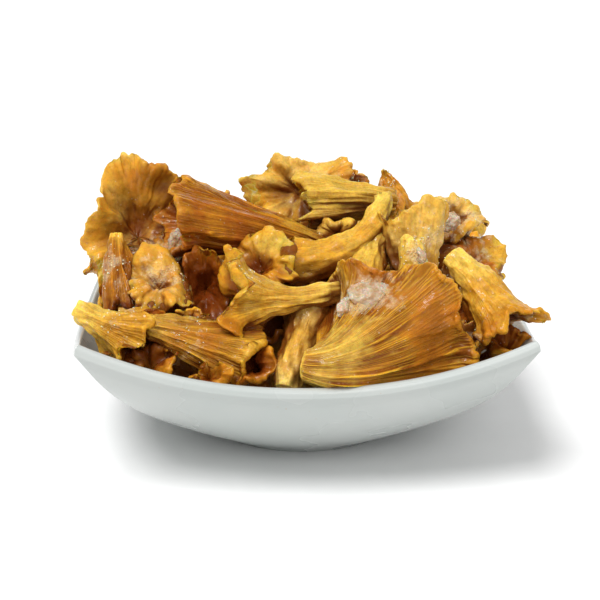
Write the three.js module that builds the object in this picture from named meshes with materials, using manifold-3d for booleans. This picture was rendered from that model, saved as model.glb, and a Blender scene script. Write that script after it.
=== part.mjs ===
// A square white bowl heaped with chanterelle mushrooms.
// Millimetres, +Z up. The origin is on the surface that the bowl stands on, under its centre.
// The bowl's front faces -Y. Each mushroom is one closed solid with a foot, a ribbed flare and a funnel.
import * as THREE from "three";
import Module from "manifold-3d";

const wasm = await Module();
wasm.setup();

// Bowl sizes
const CORNER_REACH = 86;
const SIDE_BULGE = 8;
const CORNER_HEIGHT = 63;
const SIDE_HEIGHT = 48;
const CORNER_SHARPNESS = 2.2;
const FOOT_RADIUS = 43;
const FOOT_RING_WIDTH = 4;
const FOOT_RECESS = 2;
const WALL = 3.8;
const FLOOR_TOP = 5.5;
const RIM_SHOULDER = 3.5;
const INNER_SHOULDER = 0.6;
const FOOT_RING_BEVEL = 1;
const COLUMNS_PER_SIDE = 10;
// The bowl's wall from its foot to its rim: the share of the way outwards and of the way up
const WALL_PROFILE = [
  [0.08, 0.055],
  [0.43, 0.29],
  [0.78, 0.61],
  [1, 1],
];
// The rim's rounded top: how far a ring is inside the outer edge, and how far below the top
const RIM_ROUNDING = [
  [1, 0.9],
  [2.3, 0],
];
// The dish of the floor inside: its share of the foot's radius, and how far it lies below the floor's edge
const FLOOR_DISH = [0.6, 0.6];
const FLOOR_DISH_DEPTH = 0.8;

// How far a piece stays clear of the pieces that press on it
const CLEARANCE = 0.5;

// How far a cut piece's skin may shift where small triangles are merged after the cut
const CUT_SMOOTHING = 0.14;

// Mushroom proportions
const FOOT_TAPER = 0.8;
const WALL_NEAR_NECK = 2.4;
const WALL_AT_MARGIN = 1.3;
const RIB_DEPTH = 0.75;
const FUNNEL_CLOSES_AT = 0.42;

const COLOURS = {
  porcelain: { color: 0xf1f2f0, roughness: 0.2 },
  golden: { color: 0xc98a25, roughness: 0.5 },
  tan: { color: 0xb98338, roughness: 0.5 },
  amber: { color: 0xa8611c, roughness: 0.5 },
};

// Each mushroom runs from its foot past a knee to the middle of its mouth. cap is the half width of the
// mouth upwards and sideways, stem the radius of the stem, and open the angle that the flare turns through.
// waves is how many times the margin rises and falls, and how far. flare is the share of the length where
// the flare starts, and how far it goes from a trumpet, at 0, to a straight cone, at 1.
const MUSHROOMS = [
  // Front, from left to right
  { name: "front_fan", tone: "golden", foot: [-2, -85, 55], knee: [12, -89, 53], mouth: [31, -58, 57],
    cap: [31, 35], stem: 6, open: 86, waves: [5, 3], flare: [0.04, 0.4], columns: 28 },
  { name: "left_fan", tone: "golden", foot: [-60, -69, 65], knee: [-44, -72, 62], mouth: [-28, -65, 50],
    cap: [20, 15], stem: 4.4, open: 75, waves: [4, 2.5], flare: [0.08, 0.4], columns: 22 },
  { name: "rim_left", tone: "golden", foot: [-87, -62, 69], knee: [-79, -66, 66], mouth: [-68, -65, 58],
    cap: [16, 13], stem: 5, open: 68, waves: [4, 2.5], flare: [0.3, 0.3], columns: 18 },
  { name: "left_stalk", tone: "golden", foot: [13, -54, 72], knee: [-6, -61, 72], mouth: [-26, -60, 71],
    cap: [20, 14], stem: 4.4, open: 88, waves: [4, 4], flare: [0.36, 0], columns: 18 },
  { name: "front_stem", tone: "tan", foot: [-8, -79, 42], knee: [-4, -68, 54], mouth: [2, -50, 62],
    cap: [11, 13], stem: 6.5, open: 60, waves: [3, 2], flare: [0.3, 0], columns: 16 },
  { name: "rim_right", tone: "golden", foot: [59, -37, 80], knee: [69, -48, 72], mouth: [77, -56, 58],
    cap: [17, 15], stem: 8, open: 76, waves: [4, 2.5], flare: [0.3, 0.2], columns: 18 },
  { name: "right_low", tone: "tan", foot: [64, -44, 32], knee: [62, -54, 44], mouth: [59, -61, 53],
    cap: [11, 9], stem: 5, open: 80, waves: [4, 2], flare: [0.3, 0], columns: 14 },
  { name: "right_corner", tone: "amber", foot: [66, -38, 33], knee: [74, -48, 40], mouth: [80, -60, 50],
    cap: [10, 8], stem: 4.5, open: 75, waves: [3, 2], flare: [0.3, 0], columns: 14 },
  { name: "rim_scrap_left", tone: "amber", foot: [-55, -58, 34], knee: [-58, -67, 43], mouth: [-60, -74, 51],
    cap: [9, 11], stem: 4, open: 85, waves: [4, 2], flare: [0.3, 0], columns: 12 },
  { name: "rim_scrap_middle", tone: "golden", foot: [-37, -62, 34], knee: [-37, -72, 40], mouth: [-37, -80, 49],
    cap: [5, 7], stem: 3, open: 80, waves: [3, 1.5], flare: [0.3, 0], columns: 14 },
  { name: "front_brown", tone: "amber", foot: [-15, -57, 29], knee: [-19, -63, 41], mouth: [-23, -71, 50],
    cap: [10, 10], stem: 4.5, open: 70, waves: [3, 2], flare: [0.3, 0.3], columns: 12 },
  // Middle, from left to right
  { name: "left_blade", tone: "amber", foot: [-74, -36, 92], knee: [-74, -40, 80], mouth: [-71, -44, 66],
    cap: [9, 9], stem: 3, open: 50, waves: [3, 1.5], flare: [0.1, 0.8], columns: 14 },
  { name: "left_knob", tone: "tan", foot: [-57, -32, 48], knee: [-58, -40, 61], mouth: [-57, -49, 75],
    cap: [14, 13], stem: 6, open: 118, waves: [3, 2], flare: [0.4, 0], columns: 14 },
  { name: "small_cup", tone: "golden", foot: [-45, -50, 52], knee: [-45, -56, 58], mouth: [-44, -62, 65],
    cap: [5, 7], stem: 3, open: 85, waves: [3, 1], flare: [0.3, 0], columns: 14 },
  { name: "dark_cup", tone: "amber", foot: [-37, -5, 54], knee: [-39, -22, 64], mouth: [-40, -40, 70],
    cap: [16, 11], stem: 5, open: 78, waves: [3, 2], flare: [0.3, 0.2], columns: 16 },
  { name: "curled_ring", tone: "golden", foot: [-8, -21, 52], knee: [-13, -27, 68], mouth: [-19, -37, 78],
    cap: [14, 17], stem: 5.5, open: 108, waves: [3, 2.5], flare: [0.3, 0], columns: 18 },
  { name: "left_under", tone: "amber", foot: [-60, -42, 38], knee: [-62, -54, 50], mouth: [-64, -66, 58],
    cap: [12, 14], stem: 4.5, open: 80, waves: [4, 2], flare: [0.3, 0], columns: 10 },
  { name: "wedge_middle", tone: "golden", foot: [15, -10, 56], knee: [12, -20, 62], mouth: [9, -30, 69],
    cap: [7, 6], stem: 4, open: 70, waves: [3, 1], flare: [0.3, 0], columns: 12 },
  { name: "inner_stem", tone: "golden", foot: [30, -16, 84], knee: [26, -28, 76], mouth: [20, -42, 66],
    cap: [10, 11], stem: 5, open: 60, waves: [3, 1.5], flare: [0.2, 0.4], columns: 12 },
  { name: "bent_stalk", tone: "golden", foot: [34, -4, 98], knee: [27, -27, 79], mouth: [-4, -24, 75],
    cap: [11, 10], stem: 5, open: 65, waves: [3, 1.5], flare: [0.3, 0.2], columns: 14 },
  { name: "upturned_stem", tone: "golden", foot: [43, -36, 90], knee: [42, -40, 78], mouth: [46, -47, 60],
    cap: [12, 13], stem: 4.5, open: 60, waves: [4, 1.5], flare: [0.1, 0.6], columns: 16 },
  { name: "right_flare", tone: "tan", foot: [46, -34, 56], knee: [45, -24, 72], mouth: [43, -11, 91],
    cap: [13, 15], stem: 6, open: 58, waves: [3, 2.5], flare: [0.1, 0.6], columns: 16 },
  // Back of what the front shows, from left to right
  { name: "tall_fan", tone: "tan", foot: [-70, -28, 50], knee: [-70, 12, 80], mouth: [-68, -9, 86],
    cap: [30, 22], stem: 6.5, open: 80, waves: [5, 3], flare: [0.3, 0.1], columns: 24 },
  { name: "lying_funnel", tone: "amber", foot: [9, -7, 76], knee: [-18, -12, 86], mouth: [-52, -20, 94],
    cap: [17, 15], stem: 6, open: 55, waves: [4, 2], flare: [0.05, 1], columns: 20 },
  { name: "back_cap", tone: "tan", foot: [6, 46, 63], knee: [2, 38, 86], mouth: [-1, 24, 95],
    cap: [14, 23], stem: 5, open: 88, waves: [4, 3], flare: [0.3, 0], columns: 18 },
  { name: "back_cap_small", tone: "amber", foot: [22, 48, 65], knee: [22, 42, 84], mouth: [20, 32, 94],
    cap: [10, 10], stem: 4, open: 80, waves: [4, 1.5], flare: [0.3, 0], columns: 14 },
  { name: "ribbed_top", tone: "golden", foot: [40, 12, 91], knee: [22, 8, 94], mouth: [1, 6, 93],
    cap: [12, 11], stem: 5.5, open: 55, waves: [5, 2], flare: [0.02, 1], columns: 22 },
  { name: "small_trumpet", tone: "golden", foot: [19, 18, 63], knee: [18, 6, 76], mouth: [14, -7, 83],
    cap: [6, 7.5], stem: 4, open: 85, waves: [3, 1], flare: [0.4, 0], columns: 16 },
  { name: "pointed_top", tone: "amber", foot: [37, 32, 101], knee: [39, 31, 94], mouth: [43, 28, 82],
    cap: [8, 9], stem: 1.2, open: 50, waves: [3, 1.5], flare: [0.05, 0.9], columns: 12 },
  { name: "right_loop", tone: "tan", foot: [67, 14, 54], knee: [65, 10, 74], mouth: [65, 2, 87],
    cap: [10, 14], stem: 5, open: 95, waves: [3, 3], flare: [0.4, 0], columns: 16 },
  { name: "right_brown", tone: "amber", foot: [64, 10, 44], knee: [68, 0, 58], mouth: [71, -10, 70],
    cap: [13, 17], stem: 6, open: 118, waves: [3, 1], flare: [0.4, 0], columns: 16 },
  // Back half, from left to right as the front sees it
  { name: "rear_rim_left", tone: "golden", foot: [-84, 60, 68], knee: [-76, 64, 66], mouth: [-62, 62, 57],
    cap: [15, 14], stem: 5, open: 72, waves: [4, 2.5], flare: [0.3, 0.2], columns: 14 },
  { name: "rear_knob", tone: "tan", foot: [-54, 18, 46], knee: [-60, 30, 60], mouth: [-64, 40, 73],
    cap: [14, 15], stem: 6, open: 112, waves: [5, 2], flare: [0.4, 0], columns: 14 },
  { name: "rear_fan", tone: "golden", foot: [14, 84, 58], knee: [-16, 84, 62], mouth: [-34, 56, 62],
    cap: [24, 26], stem: 6.5, open: 82, waves: [6, 3], flare: [0.12, 0.15], columns: 16 },
  { name: "rear_funnel", tone: "amber", foot: [-14, 18, 62], knee: [-30, 30, 72], mouth: [-42, 40, 78],
    cap: [15, 15], stem: 6, open: 70, waves: [4, 2.5], flare: [0.2, 0.5], columns: 14 },
  { name: "rear_stalk", tone: "golden", foot: [8, 54, 64], knee: [30, 66, 65], mouth: [50, 62, 62],
    cap: [17, 15], stem: 5.5, open: 85, waves: [4, 3.5], flare: [0.3, 0], columns: 14 },
  { name: "rear_cup", tone: "tan", foot: [44, 20, 46], knee: [46, 38, 60], mouth: [48, 50, 72],
    cap: [13, 13], stem: 5, open: 88, waves: [5, 2], flare: [0.3, 0], columns: 12 },
  { name: "rear_rim_right", tone: "amber", foot: [84, 56, 70], knee: [76, 64, 66], mouth: [66, 64, 56],
    cap: [14, 14], stem: 5.5, open: 72, waves: [4, 2.5], flare: [0.3, 0.2], columns: 14 },
  { name: "rear_low_left", tone: "amber", foot: [-30, 56, 26], knee: [-38, 68, 38], mouth: [-44, 78, 50],
    cap: [10, 13], stem: 5, open: 80, waves: [4, 2], flare: [0.3, 0], columns: 12 },
  { name: "rear_low_middle", tone: "tan", foot: [8, 50, 24], knee: [8, 66, 36], mouth: [8, 77, 50],
    cap: [11, 17], stem: 6, open: 82, waves: [5, 2], flare: [0.3, 0], columns: 12 },
  { name: "rear_low_right", tone: "golden", foot: [40, 54, 28], knee: [46, 68, 40], mouth: [48, 78, 50],
    cap: [9, 12], stem: 5, open: 80, waves: [3, 2], flare: [0.3, 0], columns: 12 },
  { name: "side_left", tone: "tan", foot: [-64, 6, 44], knee: [-76, 8, 56], mouth: [-80, 12, 68],
    cap: [13, 13], stem: 5, open: 90, waves: [5, 2.5], flare: [0.3, 0], columns: 12 },
  { name: "side_left_low", tone: "golden", foot: [-64, -8, 28], knee: [-75, -6, 42], mouth: [-81, -4, 53],
    cap: [9, 12], stem: 5, open: 80, waves: [4, 2], flare: [0.3, 0], columns: 12 },
  { name: "side_right", tone: "golden", foot: [62, 26, 42], knee: [74, 30, 52], mouth: [79, 26, 61],
    cap: [12, 13], stem: 5, open: 85, waves: [4, 2.5], flare: [0.3, 0], columns: 12 },
  { name: "side_right_low", tone: "amber", foot: [62, -2, 26], knee: [75, -2, 40], mouth: [82, -2, 51],
    cap: [9, 13], stem: 5, open: 80, waves: [4, 2], flare: [0.3, 0], columns: 12 },
  // Inside the heap
  { name: "core_left", tone: "amber", foot: [-34, -14, 14], knee: [-46, -22, 30], mouth: [-52, -28, 46],
    cap: [13, 14], stem: 6, open: 85, waves: [4, 2], flare: [0.3, 0], columns: 8 },
  { name: "core_front", tone: "golden", foot: [0, -26, 12], knee: [-6, -34, 36], mouth: [-13, -42, 56],
    cap: [13, 15], stem: 6, open: 85, waves: [4, 2], flare: [0.3, 0], columns: 10 },
  { name: "core_right", tone: "amber", foot: [34, -12, 14], knee: [40, -30, 32], mouth: [46, -40, 50],
    cap: [15, 17], stem: 6, open: 85, waves: [4, 2], flare: [0.3, 0], columns: 8 },
  { name: "core_middle", tone: "tan", foot: [2, 4, 10], knee: [-2, 2, 34], mouth: [-4, -6, 54],
    cap: [18, 20], stem: 6, open: 85, waves: [4, 2], flare: [0.3, 0], columns: 8 },
  { name: "core_rear_left", tone: "golden", foot: [-26, 26, 12], knee: [-40, 34, 34], mouth: [-44, 40, 52],
    cap: [15, 17], stem: 6, open: 85, waves: [4, 2], flare: [0.3, 0], columns: 10 },
  { name: "core_rear_right", tone: "tan", foot: [28, 24, 12], knee: [38, 34, 34], mouth: [40, 40, 52],
    cap: [15, 18], stem: 6, open: 85, waves: [4, 2], flare: [0.3, 0], columns: 8 },
  { name: "core_top_left", tone: "amber", foot: [-24, 6, 54], knee: [-38, 4, 64], mouth: [-52, 8, 72],
    cap: [13, 14], stem: 5.5, open: 85, waves: [4, 2], flare: [0.3, 0], columns: 10 },
  { name: "core_centre", tone: "golden", foot: [-12, 28, 42], knee: [-10, 24, 60], mouth: [-14, 10, 73],
    cap: [12, 13], stem: 5, open: 85, waves: [4, 2], flare: [0.3, 0], columns: 8 },
  { name: "core_side_right", tone: "tan", foot: [42, 0, 34], knee: [50, 6, 50], mouth: [54, 14, 64],
    cap: [13, 13], stem: 5.5, open: 85, waves: [4, 2], flare: [0.3, 0], columns: 10 },
  { name: "core_rear", tone: "amber", foot: [14, 36, 38], knee: [14, 46, 50], mouth: [10, 56, 62],
    cap: [12, 14], stem: 5.5, open: 85, waves: [4, 2], flare: [0.3, 0], columns: 8 },
  { name: "core_front_left", tone: "golden", foot: [-22, -34, 16], knee: [-34, -48, 28], mouth: [-42, -60, 38],
    cap: [10, 12], stem: 5, open: 85, waves: [4, 2], flare: [0.3, 0], columns: 8 },
  { name: "core_front_right", tone: "amber", foot: [38, -22, 18], knee: [50, -32, 42], mouth: [59, -40, 62],
    cap: [11, 11], stem: 5, open: 85, waves: [4, 2], flare: [0.3, 0], columns: 8 },
  { name: "core_low_left", tone: "tan", foot: [-12, -6, 14], knee: [-34, 4, 24], mouth: [-56, 10, 34],
    cap: [12, 14], stem: 5.5, open: 85, waves: [4, 2], flare: [0.3, 0], columns: 8 },
];

// The same number every run for one seed and one index, from 0 to 1.
function draw(seed, index) {
  const x = Math.sin(seed * 12.9898 + index * 78.233) * 43758.5453;
  return x - Math.floor(x);
}

// A closed mesh through rings of points. The list starts and ends with a pole, which is a ring of one point.
function closedSkin(rings) {
  const positions = [];
  const starts = rings.map((ring) => {
    const start = positions.length / 3;
    ring.forEach((p) => positions.push(p.x, p.y, p.z));
    return start;
  });
  const faces = [];
  for (let r = 0; r + 1 < rings.length; r++) {
    const [a, b] = [starts[r], starts[r + 1]];
    const count = Math.max(rings[r].length, rings[r + 1].length);
    for (let j = 0; j < count; j++) {
      const k = (j + 1) % count;
      if (rings[r].length === 1) faces.push(a, b + k, b + j);
      else if (rings[r + 1].length === 1) faces.push(a + j, a + k, b);
      else faces.push(a + j, a + k, b + k, a + j, b + k, b + j);
    }
  }
  const geometry = new THREE.BufferGeometry();
  geometry.setAttribute("position", new THREE.Float32BufferAttribute(positions, 3));
  geometry.setIndex(faces);
  geometry.computeVertexNormals();
  return geometry;
}

// The mesh as a solid, grown outwards by some millimetres.
function solidOf(geometry, grow = 0) {
  const place = geometry.getAttribute("position").array.slice();
  const normal = geometry.getAttribute("normal").array;
  for (let i = 0; i < place.length; i++) place[i] += normal[i] * grow;
  const mesh = new wasm.Mesh({
    numProp: 3,
    vertProperties: place,
    triVerts: new Uint32Array(geometry.index.array),
  });
  return new wasm.Manifold(mesh);
}

function geometryOf(solid) {
  const mesh = solid.getMesh();
  const geometry = new THREE.BufferGeometry();
  geometry.setAttribute("position", new THREE.BufferAttribute(new Float32Array(mesh.vertProperties), 3));
  geometry.setIndex(new THREE.BufferAttribute(new Uint32Array(mesh.triVerts), 1));
  geometry.computeVertexNormals();
  return geometry;
}

// The rim's outer edge in plan: four bulged sides that meet in pointed, raised corners.
function rimPoints() {
  const points = [];
  for (let side = 0; side < 4; side++) {
    const turn = (side * Math.PI) / 2;
    for (let i = 0; i < COLUMNS_PER_SIDE; i++) {
      const along = Math.sin((Math.PI / 2) * ((2 * i) / COLUMNS_PER_SIDE - 1));
      const x = CORNER_REACH * along;
      const y = -(CORNER_REACH + SIDE_BULGE * (1 - along * along));
      const rise = (CORNER_HEIGHT - SIDE_HEIGHT) * Math.abs(along) ** CORNER_SHARPNESS;
      const place = new THREE.Vector3(x, y, SIDE_HEIGHT + rise);
      points.push(place.applyAxisAngle(new THREE.Vector3(0, 0, 1), turn));
    }
  }
  return points;
}

function bowlGeometry() {
  const rim = rimPoints();
  const circle = (radius, height) =>
    rim.map((p) => new THREE.Vector3(p.x, p.y, 0).setLength(radius).setZ(height));
  // A ring part of the way from the foot to the rim: the share of the way outwards, and of the way up.
  const outerRing = (outwards, upwards) =>
    rim.map((p) => {
      const reach = Math.hypot(p.x, p.y);
      const radius = FOOT_RADIUS + (reach - FOOT_RADIUS) * outwards;
      return new THREE.Vector3(p.x, p.y, 0).setLength(radius).setZ((p.z - RIM_SHOULDER) * upwards);
    });
  const innerRing = (outwards, upwards) =>
    rim.map((p) => {
      const reach = Math.hypot(p.x, p.y) - WALL;
      const radius = FOOT_RADIUS - WALL + (reach - FOOT_RADIUS + WALL) * outwards;
      const height = FLOOR_TOP + (p.z - INNER_SHOULDER - FLOOR_TOP) * upwards;
      return new THREE.Vector3(p.x, p.y, 0).setLength(radius).setZ(height);
    });
  const rimRing = (inset, drop) =>
    rim.map((p) => {
      const radius = Math.hypot(p.x, p.y) - inset;
      return new THREE.Vector3(p.x, p.y, 0).setLength(radius).setZ(p.z - drop);
    });
  const footInside = FOOT_RADIUS - FOOT_RING_WIDTH;
  const [dishShare, dishDrop] = FLOOR_DISH;
  return closedSkin([
    [new THREE.Vector3(0, 0, FOOT_RECESS)],
    circle(footInside - FOOT_RING_BEVEL, FOOT_RECESS),
    circle(footInside, 0),
    circle(FOOT_RADIUS, 0),
    ...WALL_PROFILE.map(([outwards, upwards]) => outerRing(outwards, upwards)),
    ...RIM_ROUNDING.map(([inset, drop]) => rimRing(inset, drop)),
    ...WALL_PROFILE.toReversed().map(([outwards, upwards]) => innerRing(outwards, upwards)),
    circle(FOOT_RADIUS * dishShare, FLOOR_TOP - dishDrop),
    [new THREE.Vector3(0, 0, FLOOR_TOP - FLOOR_DISH_DEPTH)],
  ]);
}

// The line that a mushroom follows, with two directions square to it, carried from the mouth down.
function spineOf(mushroom) {
  const curve = new THREE.QuadraticBezierCurve3(
    new THREE.Vector3(...mushroom.foot),
    new THREE.Vector3(...mushroom.knee),
    new THREE.Vector3(...mushroom.mouth),
  );
  const outOfMouth = curve.getTangent(1);
  const steep = Math.abs(outOfMouth.z) > 0.9;
  const reference = steep ? new THREE.Vector3(0, -1, 0) : new THREE.Vector3(0, 0, 1);
  const length = curve.getLength();
  return (share) => {
    const along = curve.getTangent(share);
    const up = reference.clone().addScaledVector(along, -reference.dot(along)).normalize();
    return { at: curve.getPoint(share), along, up, side: along.clone().cross(up), length };
  };
}

function mushroomGeometry(mushroom, seed) {
  const { cap, stem, columns } = mushroom;
  const [waveCount, waveRise] = mushroom.waves;
  const [flareStart, straightness] = mushroom.flare;
  const open = THREE.MathUtils.degToRad(mushroom.open);
  const spine = spineOf(mushroom);
  const phase = [1, 2, 3, 4, 5].map((index) => draw(seed, index) * 2 * Math.PI);
  const tallest = Math.sin(Math.min(open, Math.PI / 2));

  // A point of the skin: its share of the spine, its radius upwards and sideways, how far it is pushed
  // outwards, and how much of it is flare.
  function skinPoint(angle, share, radii, push, flare) {
    const onSpine = THREE.MathUtils.clamp(share, 0, 1);
    const frame = spine(onSpine);
    const uneven = angle + 0.45 * Math.sin(angle + phase[4]);
    const lobe = 1 + 0.12 * flare * Math.sin(waveCount * uneven + phase[2]);
    const oval = 1 + 0.08 * Math.sin(2 * angle + phase[3]);
    const swell = Math.sin(waveCount * uneven + phase[0]) + 0.7 * Math.sin(2 * angle + phase[1]);
    const wave = swell + 0.4 * Math.sin((2 * waveCount + 1) * uneven + phase[1]);
    const beyond = (share - onSpine) * frame.length + waveRise * flare * flare * wave;
    return frame.at
      .clone()
      .addScaledVector(frame.up, (radii[0] * lobe + push) * oval * Math.cos(angle))
      .addScaledVector(frame.side, (radii[1] * lobe + push) * oval * Math.sin(angle))
      .addScaledVector(frame.along, beyond);
  }

  // Where the flare is after a share of its turn: its share of the spine, and of the way to the margin.
  function flareAt(turned) {
    const rise = Math.sin(turned * open) / tallest;
    const curl = (1 - Math.cos(turned * open)) / (1 - Math.cos(open));
    return { share: flareStart + (1 - flareStart) * rise, flare: curl + (rise - curl) * straightness };
  }

  const angles = Array.from({ length: columns }, (_, j) => (2 * Math.PI * j) / columns);
  const stemRing = (share, radius, rib) =>
    angles.map((angle, j) => skinPoint(angle, share, [radius, radius], j % 2 ? rib : -rib, 0));
  // A ring of the flare. lift is its distance inwards from the ribbed face, and closing draws it together.
  const flareRing = (turned, lift, rib, closing = 1) =>
    angles.map((angle, j) => {
      const { share, flare } = flareAt(turned);
      const outwards = (j % 2 ? rib : -rib) - lift;
      const radii = cap.map((reach) => (stem + (reach - stem) * flare) * closing);
      const rise = (-outwards * Math.sin(turned * open)) / spine(1).length;
      return skinPoint(angle, share + rise, radii, outwards * Math.cos(turned * open) * closing, flare);
    });
  const closingAt = (turned) => Math.sqrt((turned - FUNNEL_CLOSES_AT) / (1 - FUNNEL_CLOSES_AT));
  const bottom = spine(flareAt(FUNNEL_CLOSES_AT).share);

  return closedSkin([
    [spine(0).at],
    stemRing(0, stem * FOOT_TAPER, 0),
    stemRing(Math.min(flareStart * 0.5, 0.15) + 0.02, stem, RIB_DEPTH * 0.4),
    flareRing(0.1, 0, RIB_DEPTH * 0.6),
    flareRing(0.42, 0, RIB_DEPTH),
    flareRing(0.72, 0, RIB_DEPTH),
    flareRing(1, 0, RIB_DEPTH * 0.3),
    flareRing(0.98, WALL_AT_MARGIN, 0),
    flareRing(0.7, WALL_NEAR_NECK, 0, closingAt(0.7)),
    [bottom.at.clone().addScaledVector(bottom.along, WALL_NEAR_NECK)],
  ]);
}

function namedMesh(name, geometry, tone, place) {
  const material = new THREE.MeshStandardMaterial({ ...COLOURS[tone], metalness: 0, name: tone });
  const mesh = new THREE.Mesh(geometry.translate(-place.x, -place.y, -place.z), material);
  mesh.name = name;
  mesh.position.copy(place);
  return mesh;
}

function overlapsInBox(a, b) {
  const [p, q] = [a.boundingBox(), b.boundingBox()];
  return [0, 1, 2].every((axis) => p.min[axis] < q.max[axis] && q.min[axis] < p.max[axis]);
}

// What is left of a solid once the ones that press on it are cut away, without loose scraps.
function pressedInto(solid, neighbours) {
  let left = solid;
  for (const neighbour of neighbours) {
    if (overlapsInBox(left, neighbour)) left = left.subtract(neighbour);
  }
  const largest = left.decompose().reduce((a, b) => (a.volume() > b.volume() ? a : b));
  return left === solid ? solid : largest.simplify(CUT_SMOOTHING);
}

const bowlShape = bowlGeometry();
const heap = new THREE.Group();
heap.add(namedMesh("bowl", bowlShape.clone(), "porcelain", new THREE.Vector3()));

const placed = [solidOf(bowlShape, CLEARANCE)];
MUSHROOMS.forEach((mushroom, index) => {
  const shape = mushroomGeometry(mushroom, index + 1);
  const left = pressedInto(solidOf(shape), placed);
  placed.push(solidOf(shape, CLEARANCE).add(solidOf(shape)));
  const foot = new THREE.Vector3(...mushroom.foot);
  heap.add(namedMesh(mushroom.name, geometryOf(left), mushroom.tone, foot));
});

export default heap;
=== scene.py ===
"""The looks of a square white bowl heaped with frosty chanterelle mushrooms."""

import itertools
import math

import bpy
import numpy as np
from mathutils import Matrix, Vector


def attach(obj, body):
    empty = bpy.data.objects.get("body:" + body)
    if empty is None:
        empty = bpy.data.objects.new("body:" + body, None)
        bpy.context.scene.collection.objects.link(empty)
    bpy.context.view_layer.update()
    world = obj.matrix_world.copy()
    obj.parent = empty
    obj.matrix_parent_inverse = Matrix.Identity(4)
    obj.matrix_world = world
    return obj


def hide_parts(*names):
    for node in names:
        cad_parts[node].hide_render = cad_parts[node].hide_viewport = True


MM = 0.001

# The camera that fits the photo, with lengths in millimetres and angles in degrees
PHOTO_WIDTH = 600
CAMERA_DISTANCE = 600
CAMERA_ELEVATION = 18.4
CAMERA_AZIMUTH = -1.6
CAMERA_AIM_HEIGHT = 51.7
CAMERA_LENS = 84
CAMERA_SHIFT = -2 / PHOTO_WIDTH
SENSOR_WIDTH = 36

# Bowl sizes in millimetres
CORNER_REACH = 86
SIDE_BULGE = 8
CORNER_HEIGHT = 63
SIDE_HEIGHT = 48
CORNER_SHARPNESS = 2.2
FOOT_RADIUS = 43
FOOT_RING_WIDTH = 4
FOOT_INSIDE = FOOT_RADIUS - FOOT_RING_WIDTH
FOOT_RECESS = 2
WALL = 3.8
FLOOR_TOP = 5.5
RIM_SHOULDER = 3.5
BOWL_COLUMNS_PER_SIDE = 56
WALL_RINGS = 22

# The bowl's wall from its foot to its rim: the share of the way outwards and of the way up
WALL_PROFILE = ((0, 0), (0.08, 0.055), (0.43, 0.29), (0.78, 0.61), (1, 1))
PROFILE_ROUNDING = 0.12

# The bowl's underside from its middle to the start of the wall: the radius and the height of each ring
UNDERSIDE = (
    (FOOT_INSIDE * 0.4, FOOT_RECESS),
    (FOOT_INSIDE * 0.9, FOOT_RECESS),
    (FOOT_INSIDE * 0.96, FOOT_RECESS),
    (FOOT_INSIDE - 0.3, 0.7),
    (FOOT_INSIDE, 0),
    (FOOT_RADIUS - 0.6, 0),
    (FOOT_RADIUS - 0.1, 0.4),
)
WALL_START_HEIGHT = 0.9

# The rounded rim: how far in from the outer edge each ring is, and how far under the top
RIM_ROUNDING = (
    (0.05, 3.0),
    (0.3, 1.8),
    (0.7, 1.0),
    (1.2, 0.4),
    (1.8, 0.1),
    (2.4, 0),
    (3.0, 0.15),
    (3.5, 0.5),
)
INNER_RIM_DROP = 1

# The floor inside: the share of its radius of each ring, and how far the rings and the middle dip
FLOOR_RINGS = (0.9, 0.5)
FLOOR_DIP = 0.3
FLOOR_MIDDLE_DIP = 0.4

# How far the skins in the bowl keep from its rim's top, its floor and its wall
RIM_MARGIN = 0.6
FLOOR_MARGIN = 0.3
WALL_MARGIN = 0.7

# Mushroom proportions, in millimetres where they are lengths
FOOT_TAPER = 0.8
WALL_NEAR_NECK = 2.4
RIB_DEPTH = 0.75
FUNNEL_OPENS_AT = 0.98
FUNNEL_CLOSES_AT = 0.42
GILLS_PER_COLUMN = 2
LIP = 1.9

# The random numbers that the lumps and the torn margins are read from
LATTICE_SEED = 5
LATTICE_CELLS = (64, 64, 64)

# Each kind of lump in the skin by its size, how deep it is, and how far its pattern is shifted
SKIN_LUMPS = ((11, 0.5, 20), (6.5, 0.85, 0), (2.6, 0.45, 50), (1.2, 0.2, 90))

# The grid that holds how full the heap is (for the shade painted where it is crowded), its low corner, and
# how far in front of a point it is read
CROWD_CELLS = (120, 120, 80)
CROWD_CORNER = (-120, -120, 0)
CROWD_CELL = 2.0
CROWD_REACH = 8.0
CROWD_BLUR = 3

# Each lump of ice by its centre, half sizes and turn, then how coarse and how deep its surface is
ICE_LUMPS = {
    "ice_lump_front": ((26, -66, 75), (11.5, 2.3, 5.6), (-39, 10, 0)),
    "ice_lump_neck": ((13.5, -68.5, 72), (2.4, 1.5, 4.6), (-39, 32, 0)),
    "ice_lump_left": ((-51, -24, 84), (3.6, 2.6, 7.0), (0, 15, 10)),
    "ice_lump_right": ((46, -47.5, 82), (1.8, 1.8, 7.0), (0, -16, 0)),
    "ice_lump_loop": ((63, -3, 85), (4.4, 1.8, 5.4), (0, -14, 0)),
}
ICE_ROUGHNESS = ((6.0, 3.0), (2.4, 1.6), (0.9, 0.45))

# The grains of frost: how many lie on a piece with frost all over, the least frost that bears them, and the
# zone of the throat where they end
GRAIN_SEED = 11
GRAINS_A_PIECE = 340
LEAST_FROST = 0.15
GRAINS_END_AT = 1.4
GRAIN_RADII = (0.15, 0.42)
GRAIN_SLIDE = 0.5
GRAIN_RISE = 0.4

# How strongly the gills show, from 0 for smooth flesh to 1 and a little over for the largest cap
RIBBED = {
    "front_fan": 1.25,
    "ribbed_top": 0.6,
    "lying_funnel": 0.9,
    "rear_fan": 0.9,
    "left_fan": 0.8,
    "left_blade": 0.75,
    "tall_fan": 0.6,
    "rear_funnel": 0.6,
    "left_stalk": 0.5,
    "rim_left": 0.5,
    "rim_right": 0.25,
    "left_knob": 0.25,
}
RIBBED_ELSEWHERE = 0.14

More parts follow.
